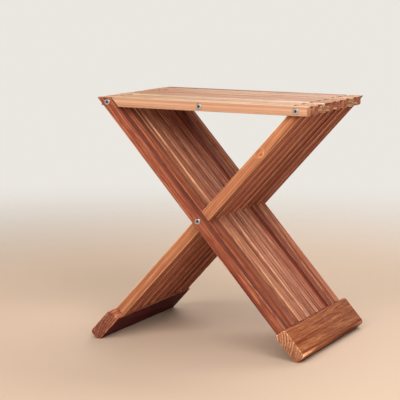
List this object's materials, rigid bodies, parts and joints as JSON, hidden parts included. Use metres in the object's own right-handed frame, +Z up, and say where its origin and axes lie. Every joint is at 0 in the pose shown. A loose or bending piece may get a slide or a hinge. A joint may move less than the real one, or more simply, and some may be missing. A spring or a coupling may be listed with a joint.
{
  "type": "folding shower stool",
  "caption": "Folding wooden shower stool with interleaved slats: two crossed sets of leg slats on broad foot rails and a flat seat of two slat sets that scissor upwards.",
  "frame": {"origin": "on the floor, in the middle of the open stool's footprint", "axes": "+X to the right along the seat slats as seen from the front, +Y to the back, +Z up"},
  "size_m": [0.4304, 0.3194, 0.457],
  "materials": {
    "back_middle_screw": "satin stainless steel",
    "back_middle_sleeve": "satin stainless steel",
    "front_middle_screw": "satin stainless steel",
    "front_middle_sleeve": "satin stainless steel",
    "left_foot_rail": "oiled teak, satin",
    "left_seat_screws": "satin stainless steel",
    "left_seat_sleeve": "satin stainless steel",
    "leg_a_slat_1": "oiled teak, satin",
    "leg_a_slat_2": "oiled teak, satin",
    "leg_a_slat_3": "oiled teak, satin",
    "leg_a_slat_4": "oiled teak, satin",
    "leg_a_slat_5": "oiled teak, satin",
    "leg_a_slat_6": "oiled teak, satin",
    "leg_a_slat_7": "oiled teak, satin",
    "leg_a_slat_8": "oiled teak, satin",
    "leg_b_slat_1": "oiled teak, satin",
    "leg_b_slat_2": "oiled teak, satin",
    "leg_b_slat_3": "oiled teak, satin",
    "leg_b_slat_4": "oiled teak, satin",
    "leg_b_slat_5": "oiled teak, satin",
    "leg_b_slat_6": "oiled teak, satin",
    "leg_b_slat_7": "oiled teak, satin",
    "leg_b_slat_8": "oiled teak, satin",
    "pivot_screws": "satin stainless steel",
    "pivot_sleeve": "satin stainless steel",
    "right_foot_rail": "oiled teak, satin",
    "right_seat_screws": "satin stainless steel",
    "right_seat_sleeve": "satin stainless steel",
    "seat_slat_01": "oiled teak, satin",
    "seat_slat_02": "oiled teak, satin",
    "seat_slat_03": "oiled teak, satin",
    "seat_slat_04": "oiled teak, satin",
    "seat_slat_05": "oiled teak, satin",
    "seat_slat_06": "oiled teak, satin",
    "seat_slat_07": "oiled teak, satin",
    "seat_slat_08": "oiled teak, satin",
    "seat_slat_09": "oiled teak, satin",
    "seat_slat_10": "oiled teak, satin",
    "seat_slat_11": "oiled teak, satin",
    "seat_slat_12": "oiled teak, satin",
    "seat_slat_13": "oiled teak, satin",
    "seat_slat_14": "oiled teak, satin",
    "seat_slat_15": "oiled teak, satin",
    "seat_slat_16": "oiled teak, satin"
  },
  "bodies": {
    "leg_set_a": {"leg_a_slat_1": "leg_a_slat_1", "leg_a_slat_2": "leg_a_slat_2", "leg_a_slat_3": "leg_a_slat_3", "leg_a_slat_4": "leg_a_slat_4", "leg_a_slat_5": "leg_a_slat_5", "leg_a_slat_6": "leg_a_slat_6", "leg_a_slat_7": "leg_a_slat_7", "leg_a_slat_8": "leg_a_slat_8", "right_foot_rail": "right_foot_rail", "pivot_sleeve": "pivot_sleeve", "pivot_screws": "pivot_screws", "left_seat_sleeve": "left_seat_sleeve", "left_seat_screws": "left_seat_screws"},
    "leg_set_b": {"leg_b_slat_1": "leg_b_slat_1", "leg_b_slat_2": "leg_b_slat_2", "leg_b_slat_3": "leg_b_slat_3", "leg_b_slat_4": "leg_b_slat_4", "leg_b_slat_5": "leg_b_slat_5", "leg_b_slat_6": "leg_b_slat_6", "leg_b_slat_7": "leg_b_slat_7", "leg_b_slat_8": "leg_b_slat_8", "left_foot_rail": "left_foot_rail", "right_seat_sleeve": "right_seat_sleeve", "right_seat_screws": "right_seat_screws"},
    "seat_set_b": {"seat_slat_01": "seat_slat_01", "seat_slat_03": "seat_slat_03", "seat_slat_05": "seat_slat_05", "seat_slat_07": "seat_slat_07", "seat_slat_09": "seat_slat_09", "seat_slat_11": "seat_slat_11", "seat_slat_13": "seat_slat_13", "seat_slat_15": "seat_slat_15", "front_middle_sleeve": "front_middle_sleeve", "front_middle_screw": "front_middle_screw"},
    "seat_set_a": {"seat_slat_02": "seat_slat_02", "seat_slat_04": "seat_slat_04", "seat_slat_06": "seat_slat_06", "seat_slat_08": "seat_slat_08", "seat_slat_10": "seat_slat_10", "seat_slat_12": "seat_slat_12", "seat_slat_14": "seat_slat_14", "seat_slat_16": "seat_slat_16", "back_middle_sleeve": "back_middle_sleeve", "back_middle_screw": "back_middle_screw"}
  },
  "joints": [
    {"name": "leg_fold", "type": "hinge", "parent": "leg_set_a", "child": "leg_set_b", "pos_m": [0, 0, 0.239], "axis": [0, -1, 0], "range_deg": [0, 77.5]},
    {"name": "left_seat_fold", "type": "hinge", "parent": "leg_set_a", "child": "seat_set_a", "pos_m": [-0.187, 0, 0.44875], "axis": [0, -1, 0], "range_deg": [0, 124.4]},
    {"name": "right_seat_fold", "type": "hinge", "parent": "leg_set_b", "child": "seat_set_b", "pos_m": [0.187, 0, 0.44875], "axis": [0, 1, 0], "range_deg": [0, 124.4]}
  ],
  "couplings": [
    {"joint": "left_seat_fold", "follows": "leg_fold", "ratio": 1.6035},
    {"joint": "right_seat_fold", "follows": "leg_fold", "ratio": 1.6035}
  ]
}
